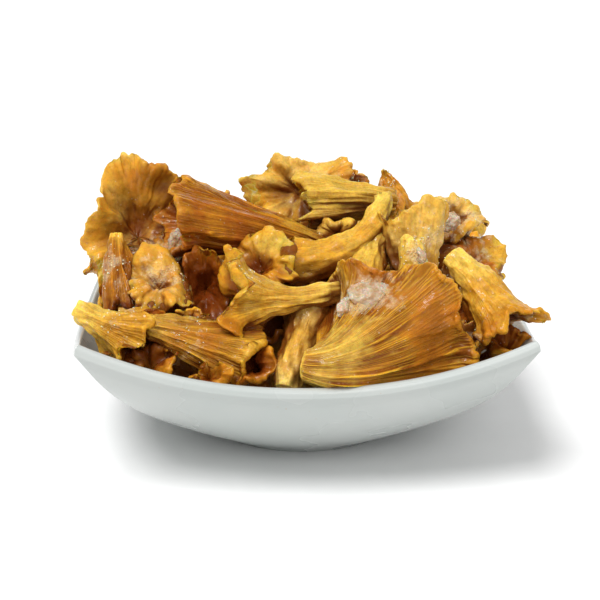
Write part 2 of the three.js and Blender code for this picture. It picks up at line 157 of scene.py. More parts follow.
# Name, tone, foot, knee, mouth, half widths of the mouth up and sideways, stem radius, opening angle,
# count and rise of the margin's waves, start and straightness of the flare, twice the count of main ribs
MUSHROOMS = (
    # Front, from left to right
    ("front_fan", "golden", (-2, -85, 55), (12, -89, 53), (31, -58, 57),
     (31, 35), 6, 86, (5, 3), (0.04, 0.4), 28),
    ("left_fan", "golden", (-60, -69, 65), (-44, -72, 62), (-28, -65, 50),
     (20, 15), 4.4, 75, (4, 2.5), (0.08, 0.4), 22),
    ("rim_left", "golden", (-87, -62, 69), (-79, -66, 66), (-68, -65, 58),
     (16, 13), 5, 68, (4, 2.5), (0.3, 0.3), 18),
    ("left_stalk", "golden", (13, -54, 72), (-6, -61, 72), (-26, -60, 71),
     (20, 14), 4.4, 88, (4, 4), (0.36, 0), 18),
    ("front_stem", "tan", (-8, -79, 42), (-4, -68, 54), (2, -50, 62),
     (11, 13), 6.5, 60, (3, 2), (0.3, 0), 16),
    ("rim_right", "golden", (59, -37, 80), (69, -48, 72), (77, -56, 58),
     (17, 15), 8, 76, (4, 2.5), (0.3, 0.2), 18),
    ("right_low", "tan", (64, -44, 32), (62, -54, 44), (59, -61, 53),
     (11, 9), 5, 80, (4, 2), (0.3, 0), 14),
    ("right_corner", "amber", (66, -38, 33), (74, -48, 40), (80, -60, 50),
     (10, 8), 4.5, 75, (3, 2), (0.3, 0), 14),
    ("rim_scrap_left", "amber", (-55, -58, 34), (-58, -67, 43), (-60, -74, 51),
     (9, 11), 4, 85, (4, 2), (0.3, 0), 12),
    ("rim_scrap_middle", "golden", (-37, -62, 34), (-37, -72, 40), (-37, -80, 49),
     (5, 7), 3, 80, (3, 1.5), (0.3, 0), 14),
    ("front_brown", "amber", (-15, -57, 29), (-19, -63, 41), (-23, -71, 50),
     (10, 10), 4.5, 70, (3, 2), (0.3, 0.3), 12),
    # Middle, from left to right
    ("left_blade", "amber", (-74, -36, 92), (-74, -40, 80), (-71, -44, 66),
     (9, 9), 3, 50, (3, 1.5), (0.1, 0.8), 14),
    ("left_knob", "tan", (-57, -32, 48), (-58, -40, 61), (-57, -49, 75),
     (14, 13), 6, 118, (3, 2), (0.4, 0), 14),
    ("small_cup", "golden", (-45, -50, 52), (-45, -56, 58), (-44, -62, 65),
     (5, 7), 3, 85, (3, 1), (0.3, 0), 14),
    ("dark_cup", "amber", (-37, -5, 54), (-39, -22, 64), (-40, -40, 70),
     (16, 11), 5, 78, (3, 2), (0.3, 0.2), 16),
    ("curled_ring", "golden", (-8, -21, 52), (-13, -27, 68), (-19, -37, 78),
     (14, 17), 5.5, 108, (3, 2.5), (0.3, 0), 18),
    ("left_under", "amber", (-60, -42, 38), (-62, -54, 50), (-64, -66, 58),
     (12, 14), 4.5, 80, (4, 2), (0.3, 0), 10),
    ("wedge_middle", "golden", (15, -10, 56), (12, -20, 62), (9, -30, 69),
     (7, 6), 4, 70, (3, 1), (0.3, 0), 12),
    ("inner_stem", "golden", (30, -16, 84), (26, -28, 76), (20, -42, 66),
     (10, 11), 5, 60, (3, 1.5), (0.2, 0.4), 12),
    ("bent_stalk", "golden", (34, -4, 98), (27, -27, 79), (-4, -24, 75),
     (11, 10), 5, 65, (3, 1.5), (0.3, 0.2), 14),
    ("upturned_stem", "golden", (43, -36, 90), (42, -40, 78), (46, -47, 60),
     (12, 13), 4.5, 60, (4, 1.5), (0.1, 0.6), 16),
    ("right_flare", "tan", (46, -34, 56), (45, -24, 72), (43, -11, 91),
     (13, 15), 6, 58, (3, 2.5), (0.1, 0.6), 16),
    # Back of what the front shows, from left to right
    ("tall_fan", "tan", (-70, -28, 50), (-70, 12, 80), (-68, -9, 86),
     (30, 22), 6.5, 80, (5, 3), (0.3, 0.1), 24),
    ("lying_funnel", "amber", (9, -7, 76), (-18, -12, 86), (-52, -20, 94),
     (17, 15), 6, 55, (4, 2), (0.05, 1), 20),
    ("back_cap", "tan", (6, 46, 63), (2, 38, 86), (-1, 24, 95),
     (14, 23), 5, 88, (4, 3), (0.3, 0), 18),
    ("back_cap_small", "amber", (22, 48, 65), (22, 42, 84), (20, 32, 94),
     (10, 10), 4, 80, (4, 1.5), (0.3, 0), 14),
    ("ribbed_top", "golden", (40, 12, 91), (22, 8, 94), (1, 6, 93),
     (12, 11), 5.5, 55, (5, 2), (0.02, 1), 22),
    ("small_trumpet", "golden", (19, 18, 63), (18, 6, 76), (14, -7, 83),
     (6, 7.5), 4, 85, (3, 1), (0.4, 0), 16),
    ("pointed_top", "amber", (37, 32, 101), (39, 31, 94), (43, 28, 82),
     (8, 9), 1.2, 50, (3, 1.5), (0.05, 0.9), 12),
    ("right_loop", "tan", (67, 14, 54), (65, 10, 74), (65, 2, 87),
     (10, 14), 5, 95, (3, 3), (0.4, 0), 16),
    ("right_brown", "amber", (64, 10, 44), (68, 0, 58), (71, -10, 70),
     (13, 17), 6, 118, (3, 1), (0.4, 0), 16),
    # Back half, from left to right as the front sees it
    ("rear_rim_left", "golden", (-84, 60, 68), (-76, 64, 66), (-62, 62, 57),
     (15, 14), 5, 72, (4, 2.5), (0.3, 0.2), 14),
    ("rear_knob", "tan", (-54, 18, 46), (-60, 30, 60), (-64, 40, 73),
     (14, 15), 6, 112, (5, 2), (0.4, 0), 14),
    ("rear_fan", "golden", (14, 84, 58), (-16, 84, 62), (-34, 56, 62),
     (24, 26), 6.5, 82, (6, 3), (0.12, 0.15), 16),
    ("rear_funnel", "amber", (-14, 18, 62), (-30, 30, 72), (-42, 40, 78),
     (15, 15), 6, 70, (4, 2.5), (0.2, 0.5), 14),
    ("rear_stalk", "golden", (8, 54, 64), (30, 66, 65), (50, 62, 62),
     (17, 15), 5.5, 85, (4, 3.5), (0.3, 0), 14),
    ("rear_cup", "tan", (44, 20, 46), (46, 38, 60), (48, 50, 72),
     (13, 13), 5, 88, (5, 2), (0.3, 0), 12),
    ("rear_rim_right", "amber", (84, 56, 70), (76, 64, 66), (66, 64, 56),
     (14, 14), 5.5, 72, (4, 2.5), (0.3, 0.2), 14),
    ("rear_low_left", "amber", (-30, 56, 26), (-38, 68, 38), (-44, 78, 50),
     (10, 13), 5, 80, (4, 2), (0.3, 0), 12),
    ("rear_low_middle", "tan", (8, 50, 24), (8, 66, 36), (8, 77, 50),
     (11, 17), 6, 82, (5, 2), (0.3, 0), 12),
    ("rear_low_right", "golden", (40, 54, 28), (46, 68, 40), (48, 78, 50),
     (9, 12), 5, 80, (3, 2), (0.3, 0), 12),
    ("side_left", "tan", (-64, 6, 44), (-76, 8, 56), (-80, 12, 68),
     (13, 13), 5, 90, (5, 2.5), (0.3, 0), 12),
    ("side_left_low", "golden", (-64, -8, 28), (-75, -6, 42), (-81, -4, 53),
     (9, 12), 5, 80, (4, 2), (0.3, 0), 12),
    ("side_right", "golden", (62, 26, 42), (74, 30, 52), (79, 26, 61),
     (12, 13), 5, 85, (4, 2.5), (0.3, 0), 12),
    ("side_right_low", "amber", (62, -2, 26), (75, -2, 40), (82, -2, 51),
     (9, 13), 5, 80, (4, 2), (0.3, 0), 12),
    # Inside the heap
    ("core_left", "amber", (-34, -14, 14), (-46, -22, 30), (-52, -28, 46),
     (13, 14), 6, 85, (4, 2), (0.3, 0), 8),
    ("core_front", "golden", (0, -26, 12), (-6, -34, 36), (-13, -42, 56),
     (13, 15), 6, 85, (4, 2), (0.3, 0), 10),
    ("core_right", "amber", (34, -12, 14), (40, -30, 32), (46, -40, 50),
     (15, 17), 6, 85, (4, 2), (0.3, 0), 8),
    ("core_middle", "tan", (2, 4, 10), (-2, 2, 34), (-4, -6, 54),
     (18, 20), 6, 85, (4, 2), (0.3, 0), 8),
    ("core_rear_left", "golden", (-26, 26, 12), (-40, 34, 34), (-44, 40, 52),
     (15, 17), 6, 85, (4, 2), (0.3, 0), 10),
    ("core_rear_right", "tan", (28, 24, 12), (38, 34, 34), (40, 40, 52),
     (15, 18), 6, 85, (4, 2), (0.3, 0), 8),
    ("core_top_left", "amber", (-24, 6, 54), (-38, 4, 64), (-52, 8, 72),
     (13, 14), 5.5, 85, (4, 2), (0.3, 0), 10),
    ("core_centre", "golden", (-12, 28, 42), (-10, 24, 60), (-14, 10, 73),
     (12, 13), 5, 85, (4, 2), (0.3, 0), 8),
    ("core_side_right", "tan", (42, 0, 34), (50, 6, 50), (54, 14, 64),
     (13, 13), 5.5, 85, (4, 2), (0.3, 0), 10),
    ("core_rear", "amber", (14, 36, 38), (14, 46, 50), (10, 56, 62),
     (12, 14), 5.5, 85, (4, 2), (0.3, 0), 8),
    ("core_front_left", "golden", (-22, -34, 16), (-34, -48, 28), (-42, -60, 38),
     (10, 12), 5, 85, (4, 2), (0.3, 0), 8),
    ("core_front_right", "amber", (38, -22, 18), (50, -32, 42), (59, -40, 62),
     (11, 11), 5, 85, (4, 2), (0.3, 0), 8),
    ("core_low_left", "tan", (-12, -6, 14), (-34, 4, 24), (-56, 10, 34),
     (12, 14), 5.5, 85, (4, 2), (0.3, 0), 8),
)

# How fine the skins are: the starts of the names, the columns, and the steps along the stem, the flare and
# the inside. The first row that fits a name holds. The pieces that look largest get the finest skins.
SKIN_DETAIL = (
    (("front_fan",), 416, (10, 72, 20)),
    (("left_fan", "rim_left", "left_stalk", "tall_fan"), 232, (12, 44, 16)),
    (("lying_funnel", "right_flare", "rim_right"), 232, (12, 44, 16)),
    (("core_", "rear_low", "side_left_low", "side_right_low"), 64, (4, 14, 7)),
    (("rear_", "side_", "inner_stem"), 120, (8, 24, 11)),
    (("",), 144, (9, 30, 13)),
)

# Where frost lies: the middle of each patch, its radius and how dense it is
FROST_PATCHES = (
    ((24, -66, 75), 11, 0.9),
    ((12, -67, 72), 7, 0.7),
    ((33, -74, 74), 6, 0.6),
    ((-58, -48, 76), 16, 0.5),
    ((-60, -20, 80), 16, 0.7),
    ((-56, -6, 74), 12, 0.6),
    ((20, 30, 98), 13, 0.5),
    ((70, -2, 88), 17, 0.6),
    ((60, -4, 84), 12, 0.5),
    ((74, -14, 74), 12, 0.4),
    ((50, -44, 72), 10, 0.8),
    ((47, -44, 84), 9, 0.8),
    ((54, -22, 86), 12, 0.55),
    ((75, -6, 75), 10, 0.5),
    ((62, -62, 56), 11, 0.35),
    ((86, -56, 66), 9, 0.4),
    ((-78, -42, 80), 9, 0.7),
    ((-44, -70, 60), 10, 0.5),
    ((-70, -66, 66), 10, 0.5),
    ((-20, -62, 84), 9, 0.35),
    ((38, 32, 92), 9, 0.5),
    ((-60, 44, 76), 15, 0.7),
    ((-30, 66, 74), 13, 0.7),
    ((50, 62, 74), 13, 0.6),
    ((84, 30, 66), 12, 0.6),
    ((-84, 12, 70), 12, 0.5),
)

# Where the flesh is stained orange brown, and where it is pale yellow: centre, radius and strength
BROWN_PATCHES = (
    ((-63, -4, 106), 11, 1.0),
    ((-50, -14, 84), 12, 0.7),
    ((-26, -26, 90), 14, 0.8),
    ((-47, -36, 90), 12, 0.7),
    ((47, -80, 66), 15, 1.5),
    ((36, -74, 76), 9, 1.0),
    ((58, -76, 58), 9, 0.7),
    ((24, -61, 83), 9, 0.9),
    ((42, -74, 75), 9, 0.6),
    ((-40, -77, 58), 15, 0.6),
    ((-40, -34, 70), 15, 1.0),
    ((-20, -40, 80), 5, 0.9),
    ((-9, -40, 77), 6, 0.9),
    ((73, -70, 62), 10, 0.6),
    ((84, -60, 62), 10, 0.7),
    ((-10, 27, 88), 7, 0.4),
    ((14, -4, 82), 4, 1.0),
    ((-22, -67, 48), 12, 0.9),
    ((-10, -74, 52), 9, 0.5),
    ((-29, -73, 64), 8, 0.6),
    ((-72, -46, 68), 9, 0.5),
    ((-52, 60, 62), 14, 0.7),
    ((20, 70, 66), 14, 0.6),
    ((66, 40, 66), 12, 0.6),
)
PALE_PATCHES = (
    ((11, -2, 96), 22, 1.6),
    ((4, 26, 98), 16, 0.8),
    ((24, -26, 80), 14, 0.7),
    ((41, -42, 86), 12, 0.9),
    ((2, -56, 74), 13, 0.8),
    ((63, -44, 80), 14, 0.9),
    ((46, -20, 84), 13, 0.4),
    ((72, -16, 76), 13, 0.8),
    ((62, -64, 54), 10, 0.7),
    ((10, -90, 58), 15, 0.6),
    ((25, -84, 62), 13, 0.5),
    ((-2, 27, 101), 18, 1.1),
    ((84, -4, 74), 14, 1.4),
    ((-84, -4, 98), 13, 0.9),
    ((-72, -4, 113), 7, 0.8),
    ((-80, -8, 80), 11, 0.5),
    ((-60, -50, 80), 12, 0.5),
    ((-84, -64, 68), 10, 0.6),
    ((-14, -34, 88), 12, 0.6),
    ((-2, -14, 84), 9, 0.6),
    ((-50, 44, 80), 14, 0.7),
    ((30, 60, 70), 14, 0.7),
    ((70, 10, 90), 10, 0.6),
)


def draw(seed, index):
    """The same number every run for one seed and one index, from 0 to 1."""
    x = math.sin(seed * 12.9898 + index * 78.233) * 43758.5453
    return x - math.floor(x)


def smooth(low, high, value):
    t = np.clip((value - low) / (high - low), 0, 1)
    return t * t * (3 - 2 * t)


def unit(vectors):
    return vectors / np.linalg.norm(vectors, axis=-1, keepdims=True)


def add_attribute(mesh, name, kind, values):
    """Gives each point of the mesh a value that its material reads."""
    layer = mesh.attributes.new(name, kind, "POINT")
    key = "vector" if kind == "FLOAT_VECTOR" else "value"
    layer.data.foreach_set(key, np.ascontiguousarray(values, np.float32).ravel())


def piece_from(name, points, faces, attributes, material, node):
    """A finished piece from points in millimetres, smooth shaded, that stands for its CAD node."""
    mesh = bpy.data.meshes.new(name)
    mesh.from_pydata((points * MM).tolist(), [], faces)
    for key, values in attributes.items():
        add_attribute(mesh, key, "FLOAT_VECTOR" if values.ndim == 2 else "FLOAT", values)
    mesh.polygons.foreach_set("use_smooth", [True] * len(mesh.polygons))
    mesh.materials.append(material)
    mesh.update()
    piece = bpy.data.objects.new(name, mesh)
    bpy.context.scene.collection.objects.link(piece)
    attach(piece, "root")
    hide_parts(node)
    return piece


def ring_faces(starts, counts):
    """Faces between rings of points, from each ring's first index and its count. A count of 1 is a pole."""
    faces = []
    for (a, m), (b, n) in zip(zip(starts, counts), zip(starts[1:], counts[1:])):
        for j in range(max(m, n)):
            k = (j + 1) % max(m, n)
            if m == 1:
                faces.append((a, b + k, b + j))
            elif n == 1:
                faces.append((a + j, a + k, b))
            else:
                faces.append((a + j, a + k, b + k, b + j))
    return faces


# The bowl


def rim_points():
    """The rim's outer edge: four bulged sides that meet in pointed, raised corners."""
    along = np.sin(np.pi / 2 * (2 * np.arange(BOWL_COLUMNS_PER_SIDE) / BOWL_COLUMNS_PER_SIDE - 1))
    x = CORNER_REACH * along
    y = -(CORNER_REACH + SIDE_BULGE * (1 - along**2))
    z = SIDE_HEIGHT + (CORNER_HEIGHT - SIDE_HEIGHT) * np.abs(along) ** CORNER_SHARPNESS
    sides = ((x, y, z), (-y, x, z), (-x, -y, z), (y, -x, z))
    return np.concatenate([np.stack(side, 1) for side in sides])


RIM = rim_points()
RIM_ANGLES = np.unwrap(np.arctan2(RIM[:, 1], RIM[:, 0]))
RIM_REACHES = np.hypot(RIM[:, 0], RIM[:, 1])


def bowl_ring(radii, heights):
    """A ring of points in the directions of the rim's points."""
    return np.stack([np.cos(RIM_ANGLES) * radii, np.sin(RIM_ANGLES) * radii, heights + 0 * radii], 1)


def wall_rings(start, reach, bottom, top):
    """Rings of one face of the wall, rounded through the profile, from the foot up."""
    outwards, upwards = np.array(WALL_PROFILE).T
    knots = np.linspace(0, 1, len(outwards))
    rings = []
    for t in np.linspace(0, 1, WALL_RINGS):
        spread = np.linspace(max(t - PROFILE_ROUNDING, 0), min(t + PROFILE_ROUNDING, 1), 9)
        out = np.interp(spread, knots, outwards).mean() if 0 < t < 1 else t
        up = np.interp(spread, knots, upwards).mean() if 0 < t < 1 else t
        rings.append(bowl_ring(start + (reach - start) * out, bottom + (top - bottom) * up))
    return rings


def bowl_piece(material):
    """The whole bowl from the middle of its underside, over the rim, to the middle of its floor."""
    reach, top = RIM_REACHES, RIM[:, 2]
    flat = np.zeros(len(RIM))
    rings = [bowl_ring(flat + radius, flat + height) for radius, height in UNDERSIDE]
    rings += wall_rings(FOOT_RADIUS, reach, WALL_START_HEIGHT, top - RIM_SHOULDER)[1:]
    rings += [bowl_ring(reach - inset, top - drop) for inset, drop in RIM_ROUNDING]
    inner_start = FOOT_RADIUS - WALL
    rings += wall_rings(inner_start, reach - WALL, FLOOR_TOP, top - INNER_RIM_DROP)[::-1]
    rings += [bowl_ring(flat + inner_start * share, flat + FLOOR_TOP - FLOOR_DIP) for share in FLOOR_RINGS]
    count = len(RIM)
    low, high = np.array([[0, 0, FOOT_RECESS]]), np.array([[0, 0, FLOOR_TOP - FLOOR_MIDDLE_DIP]])
    points = np.concatenate([low, *rings, high])
    counts = [1] + [count] * len(rings) + [1]
    starts = [0] + [1 + count * i for i in range(len(rings) + 1)]
    return piece_from("bowl", points, ring_faces(starts, counts), {}, material, "bowl")


def held_in_bowl(points):
    """The points with those below the rim moved in to the face of the wall where they are past it."""
    angle = np.arctan2(points[:, 1], points[:, 0])
    wrapped = RIM_ANGLES[0] + (angle - RIM_ANGLES[0]) % (2 * np.pi)
    reach = np.interp(wrapped, RIM_ANGLES, RIM_REACHES, period=2 * np.pi)
    top = np.interp(wrapped, RIM_ANGLES, RIM[:, 2], period=2 * np.pi) - RIM_MARGIN
    outwards, upwards = np.array(WALL_PROFILE).T
    height = np.maximum(points[:, 2], FLOOR_TOP + FLOOR_MARGIN)
    climbed = (height - FLOOR_TOP) / (top - FLOOR_TOP)
    inner_start = FOOT_RADIUS - WALL
    spread = np.interp(climbed, upwards, outwards)
    limit = inner_start + (reach - WALL - inner_start) * spread - WALL_MARGIN
    radius = np.hypot(points[:, 0], points[:, 1])
    limit = np.where(climbed > 1, np.maximum(radius, 0.001), limit)
    pull = np.minimum(limit / np.maximum(radius, 0.001), 1)
    return np.stack([points[:, 0] * pull, points[:, 1] * pull, height], 1)


# The mushrooms


class Spine:
    """The line that a mushroom follows, with two directions square to it."""

    def __init__(self, foot, knee, mouth):
        self.foot, self.knee, self.mouth = (np.array(p, float) for p in (foot, knee, mouth))
        steep = abs(self.tangent(np.array([1.0]))[0, 2]) > 0.9
        self.reference = np.array([0.0, -1.0, 0.0] if steep else [0.0, 0.0, 1.0])
        line = self.place(np.linspace(0, 1, 101))
        self.length = np.linalg.norm(np.diff(line, axis=0), axis=1).sum()

    def place(self, share):
        t = share[..., None]
        return (1 - t) ** 2 * self.foot + 2 * t * (1 - t) * self.knee + t * t * self.mouth

    def tangent(self, share):
        t = share[..., None]
        return unit((1 - t) * (self.knee - self.foot) + t * (self.mouth - self.knee))

    def frames(self, share):
        along = self.tangent(share)
        up = unit(self.reference - along * (along @ self.reference)[..., None])
        return self.place(share), along, up, np.cross(along, up)


def rib_wave(turns):
    """Narrow crests at whole turns and broad valleys between them, from -1 to 1."""
    return 2 * (1 - np.abs(np.sin(np.pi * turns))) ** 1.3 - 1


def rib_field(angle, turned, main_ribs, seed):
    """How high the gills stand, from -1 to 1. They fork twice on their way to the margin."""
    bend = 0.10 * np.sin(3 * angle + 6 * draw(seed, 11))
    bend = bend + 0.04 * np.sin(8 * angle + 7 * turned + 6 * draw(seed, 12))
    bend = bend + 0.014 * np.sin(19 * angle - 21 * turned + 6 * draw(seed, 13))
    turns = (angle + bend) * main_ribs / (2 * np.pi) + 0.5
    forked = smooth(0.15, 0.5, turned + 0.12 * np.sin(5 * angle + 6 * draw(seed, 14)))
    strength = 0.8 + 0.2 * np.sin(11 * angle + 9 * turned + 6 * draw(seed, 15))
    fine = (1 - forked) * rib_wave(turns) + forked * rib_wave(2 * turns)
    return 0.35 * rib_wave(turns) + 0.55 * strength * fine


LATTICE = np.random.default_rng(LATTICE_SEED).uniform(-1, 1, LATTICE_CELLS)


def read_lattice(lattice, place):
    """The lattice's values at these places, blended smoothly between its points. Its ends repeat."""
    low = np.floor(place).astype(int)
    blend = place - low
    blend = blend * blend * (3 - 2 * blend)
    total = np.zeros(place.shape[:-1])
    for corner in itertools.product((0, 1), repeat=3):
        key = np.moveaxis((low + corner) % lattice.shape, -1, 0)
        weight = np.prod(np.where(corner, blend, 1 - blend), axis=-1)
        total += weight * lattice[tuple(key)]
    return total


def value_noise(points, cell):
    """Smooth random values from -1 to 1 over cells of this size."""
    return read_lattice(LATTICE, points / cell)


def crumbled(grid, size):
    """The rings of points with their skin roughened by lumps of a few millimetres and less."""
    across = np.roll(grid, -1, axis=1) - np.roll(grid, 1, axis=1)
    outwards = unit(np.cross(np.gradient(grid, axis=0), across) + 1e-9)
    rough = 0
    for cell, depth, shift in SKIN_LUMPS:
        rough = rough + depth * value_noise(grid + shift, cell)
    return grid + outwards * (rough * size)[..., None]


def stations(flare_start, stem_steps, flare_steps, inner_steps):
    """The rings of the skin: share of the stem, share of the flare's turn, lift off the ribbed face, how
    far the ring is drawn together, rib depth, share of the stem's radius, and zone.

    The zone is 0 at the foot, 1 at the margin and 2 in the throat."""
    rows = [(0, 0, 0, s, 0, FOOT_TAPER, 0) for s in (0.35, 0.7, 0.92)]
    ripe = min(flare_start * 0.5, 0.15) + 0.02
    for t in np.linspace(0, 1, stem_steps):
        share = 0.004 + (flare_start - 0.004) * t
        grown = float(smooth(0, ripe, share))
        girth = FOOT_TAPER + (1 - FOOT_TAPER) * grown
        rows.append((share, 0, 0, 1, RIB_DEPTH * 0.5 * grown, girth, 0.3 * t))
    for t in np.linspace(0, 1, flare_steps + 1)[1:]:
        depth = RIB_DEPTH * np.interp(t, (0, 0.1, 0.42, 0.75, 1), (0.5, 0.7, 1.1, 1.0, 0.35))
        rows.append((flare_start, t, 0, 1, depth, 1, 0.3 + 0.7 * t))
    rows.append((flare_start, 1.012, LIP * 0.15, 1, 0.1, 1, 1.005))
    rows.append((flare_start, 1.016, LIP * 0.5, 1, 0.1, 1, 1.02))
    rows.append((flare_start, 1.008, LIP * 0.85, 1, 0.1, 1, 1.04))
    for t in np.linspace(FUNNEL_OPENS_AT, FUNNEL_CLOSES_AT + 0.002, inner_steps):
        lift = np.interp(t, (0.7, FUNNEL_OPENS_AT), (WALL_NEAR_NECK, LIP))
        closing = math.sqrt((t - FUNNEL_CLOSES_AT) / (FUNNEL_OPENS_AT - FUNNEL_CLOSES_AT))
        zone = 1.05 + 0.95 * (FUNNEL_OPENS_AT - t) / (FUNNEL_OPENS_AT - FUNNEL_CLOSES_AT)
        rows.append((flare_start, t, lift, closing, 0.06, 1, zone))
    return np.array(rows, float).T[:, :, None]


def torn_edge(angle, reach, seed):
    """How far a torn margin reaches in and out along its way round, in millimetres."""
    ring = np.stack([np.cos(angle) * reach, np.sin(angle) * reach, 0 * angle + 7 * seed], -1)
    notches = np.minimum(value_noise(ring, 3.1), 0.25)
    return 1.5 * value_noise(ring + 31, 7.5) + 1.8 * notches + 0.6 * value_noise(ring + 70, 1.4)


def mushroom_skin(row, seed, columns, steps, ribbed):
    """Points of one mushroom's skin ring by ring, with what its material reads."""
    _, _, foot, knee, mouth, cap, stem, opening, waves, flare_rule, main_columns = row
    flare_start, straightness = flare_rule
    spine = Spine(foot, knee, mouth)
    opening = math.radians(opening)
    tallest = math.sin(min(opening, math.pi / 2))
    phase = [draw(seed, i) * 2 * math.pi for i in (1, 2, 3, 4, 5)]
    angle = 2 * np.pi * np.arange(columns)[None, :] / columns
    share, turned, lift, closing, depth, girth, zone = stations(flare_start, *steps)

    turn = turned * opening
    rise = np.sin(turn) / tallest
    curl = (1 - np.cos(turn)) / (1 - math.cos(opening))
    flare = curl + (rise - curl) * straightness
    on_flare = turned > 0
    share = np.where(on_flare, flare_start + (1 - flare_start) * rise, share)

    ribs = rib_field(angle, turned, main_columns / 2, seed) * (0.12 + 0.88 * ribbed)
    length = share + 0 * angle
    lumps = 0.45 * np.sin(2 * angle + 7 * length + 9 * draw(seed, 5))
    lumps = lumps + 0.30 * np.sin(5 * angle - 11 * length + 9 * draw(seed, 6))
    lumps = lumps + 0.16 * np.sin(9 * angle + 19 * length + 9 * draw(seed, 7))
    outwards = ribs * depth - lift + lumps * np.where(zone > 1, 0.7, 1)
    share = share - outwards * np.sin(turn) / spine.length
    on_spine = np.clip(share, 0, 1)
    at, along, up, side = spine.frames(on_spine)

    wave_count, wave_rise = waves
    uneven = angle + 0.45 * np.sin(angle + phase[4])
    lobe = 1 + 0.12 * flare * np.sin(wave_count * uneven + phase[2])
    edge = np.clip(flare, 0, 1.2) ** 5
    torn = torn_edge(angle, sum(cap) / 2, seed)
    oval = 1 + 0.08 * np.sin(2 * angle + phase[3])
    swell = np.sin(wave_count * uneven + phase[0]) + 0.7 * np.sin(2 * angle + phase[1])
    wave = swell + 0.4 * np.sin((2 * wave_count + 1) * uneven + phase[1])
    frill = torn_edge(angle + 2, sum(cap) / 2, seed + 60)
    beyond = (share - on_spine) * spine.length + wave_rise * flare**2 * wave + edge * frill
    push = (outwards * np.cos(turn) + torn * edge) * closing
    radii = [(stem * girth + (reach - stem) * flare) * closing for reach in cap]
    points = at + up * ((radii[0] * lobe + push) * oval * np.cos(angle))[..., None]
    points = points + side * ((radii[1] * lobe + push) * oval * np.sin(angle))[..., None]
    outside = 0.4 + 0.9 * (1 - ribbed)
    size = np.interp(zone, (0.85, 0.99, 1.08, 1.3), (outside, 1.2, 1.8, 2.0))
    points = crumbled(points + along * beyond[..., None], size)

    travelled = (zone + 0 * angle) * spine.length
    flow = np.stack([np.cos(angle) + 0 * zone, np.sin(angle) + 0 * zone, travelled * 0.1], -1)
    return points, (ribs * 0.5 + 0.5) * np.ones_like(points[..., 0]), zone + 0 * angle, flow


def patches_at(points, patches):
    """How strong the strongest of the round patches is at each point."""
    strongest = np.zeros(len(points))
    for centre, radius, strength in patches:
        far = np.linalg.norm(points - np.array(centre), axis=1) / radius
        strongest = np.maximum(strongest, strength * np.exp(-(far**2)))
    return strongest


def skin_points(piece):
    """The places and the normals of a piece's points, in millimetres."""
    mesh = piece.data
    places, normals = np.empty(len(mesh.vertices) * 3), np.empty(len(mesh.vertices) * 3)
    mesh.vertices.foreach_get("co", places)
    mesh.vertices.foreach_get("normal", normals)
    return places.reshape(-1, 3) / MM, normals.reshape(-1, 3)


def mark_crowding(pieces):
    """Marks how crowded the heap is in front of each point of the skins, where little light comes in and
    shade is painted.
    """
    everything = [skin_points(piece) for piece in pieces]
    filled = np.zeros(CROWD_CELLS)
    for places, _ in everything:
        cells = ((places - CROWD_CORNER) / CROWD_CELL).astype(int)
        filled[tuple(cells.T)] = 1
    steps = range(-CROWD_BLUR, CROWD_BLUR + 1)
    for axis in (0, 0, 1, 1, 2, 2):
        filled = sum(np.roll(filled, step, axis) for step in steps) / len(steps)
    for piece, (places, normals) in zip(pieces, everything):
        crowd_shade = read_lattice(filled, (places + normals * CROWD_REACH - CROWD_CORNER) / CROWD_CELL)
        add_attribute(piece.data, "crowd_shade", "FLOAT", crowd_shade)


def mushroom_piece(row, seed, materials):
    """One mushroom's skin, closed at its foot and in its throat, with what its material reads."""
    name, tone = row[:2]
    columns, steps = next(row[1:] for row in SKIN_DETAIL if name.startswith(row[0]))
    ribbed = RIBBED.get(name, RIBBED_ELSEWHERE)
    grid, ribs, zone, flow = mushroom_skin(row, seed, columns, steps, ribbed)
    first, last = grid[0].mean(0, keepdims=True), grid[-1].mean(0, keepdims=True)
    points = held_in_bowl(np.concatenate([first, grid.reshape(-1, 3), last]))

    def with_poles(values):
        flat = values.reshape(-1, *values.shape[2:])
        return np.concatenate([flat[:1], flat, flat[-1:]])

    rings = len(grid)
    counts = [1] + [columns] * rings + [1]
    starts = [0] + [1 + columns * i for i in range(rings + 1)]
    attributes = {
        "rib": with_poles(ribs),
        "zone": with_poles(zone),
        "flow": with_poles(flow),
        "frost": patches_at(points, FROST_PATCHES),
        "stain": patches_at(points, BROWN_PATCHES) - patches_at(points, PALE_PATCHES),
        "tint": np.full(len(points), draw(seed, 30)),
        "gills": np.full(len(points), float(GILLS_PER_COLUMN * row[-1])),
        "ribbed": np.full(len(points), ribbed),
    }
    faces = ring_faces(starts, counts)
    return piece_from(name + "_skin", points, faces, attributes, materials[tone], name)


# Ice


def ice_lump(name, centre, half_sizes, turn, material):
    """A cloudy lump of ice frozen to the mushrooms under it."""
    bpy.ops.mesh.primitive_ico_sphere_add(subdivisions=5, radius=1)
    lump = bpy.context.object
    lump.name = name
    lump.location = [value * MM for value in centre]
    lump.scale = [value * MM for value in half_sizes]
    lump.rotation_euler = [math.radians(value) for value in turn]
    bpy.ops.object.transform_apply(location=True, rotation=True, scale=True)
    for cell, depth in ICE_ROUGHNESS:
        texture = bpy.data.textures.new(f"{name}_{cell}", "CLOUDS")
        texture.noise_scale = cell * MM
        rough = lump.modifiers.new("rough", "DISPLACE")
        rough.texture = texture
        rough.strength = depth * MM
        bpy.ops.object.modifier_apply(modifier=rough.name)
    bpy.ops.object.shade_smooth()
    lump.data.materials.append(material)
    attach(lump, "root")


def unit_grain():
    """The corners and faces of one grain of ice, an icosahedron of radius 1."""
    bpy.ops.mesh.primitive_ico_sphere_add(subdivisions=1, radius=1)
    ball = bpy.context.object
    corners = np.array([vertex.co[:] for vertex in ball.data.vertices])
    faces = np.array([face.vertices[:] for face in ball.data.polygons])
    bpy.data.objects.remove(ball)
    return corners, faces


